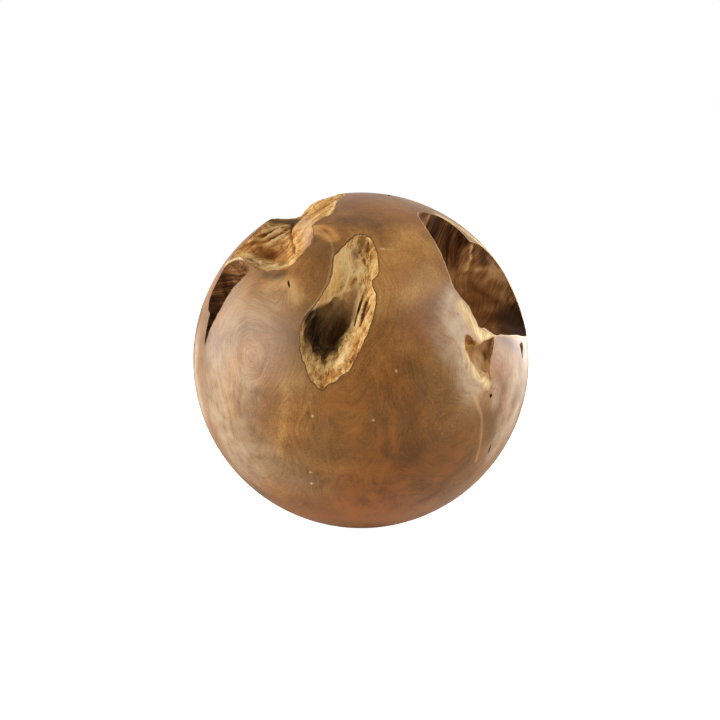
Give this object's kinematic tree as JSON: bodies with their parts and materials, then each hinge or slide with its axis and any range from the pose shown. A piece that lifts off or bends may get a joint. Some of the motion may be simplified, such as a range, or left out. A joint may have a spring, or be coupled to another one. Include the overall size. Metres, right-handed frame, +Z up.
{
  "type": "teak root ball",
  "caption": "Solid decorative ball turned from a tree root, with deep natural hollows, a split and drying cracks left open.",
  "frame": {"origin": "centre of the ball", "axes": "+Z up through the top of the ball, -Y towards the front hollow's side, +X towards the large right hollow"},
  "size_m": [0.2998, 0.3, 0.3],
  "materials": {
    "teak_root": "sanded and satin lacquered teak root, raw pale wood in the front and upper hollows"
  },
  "bodies": {
    "root": {"ball": "teak_root"}
  },
  "joints": []
}
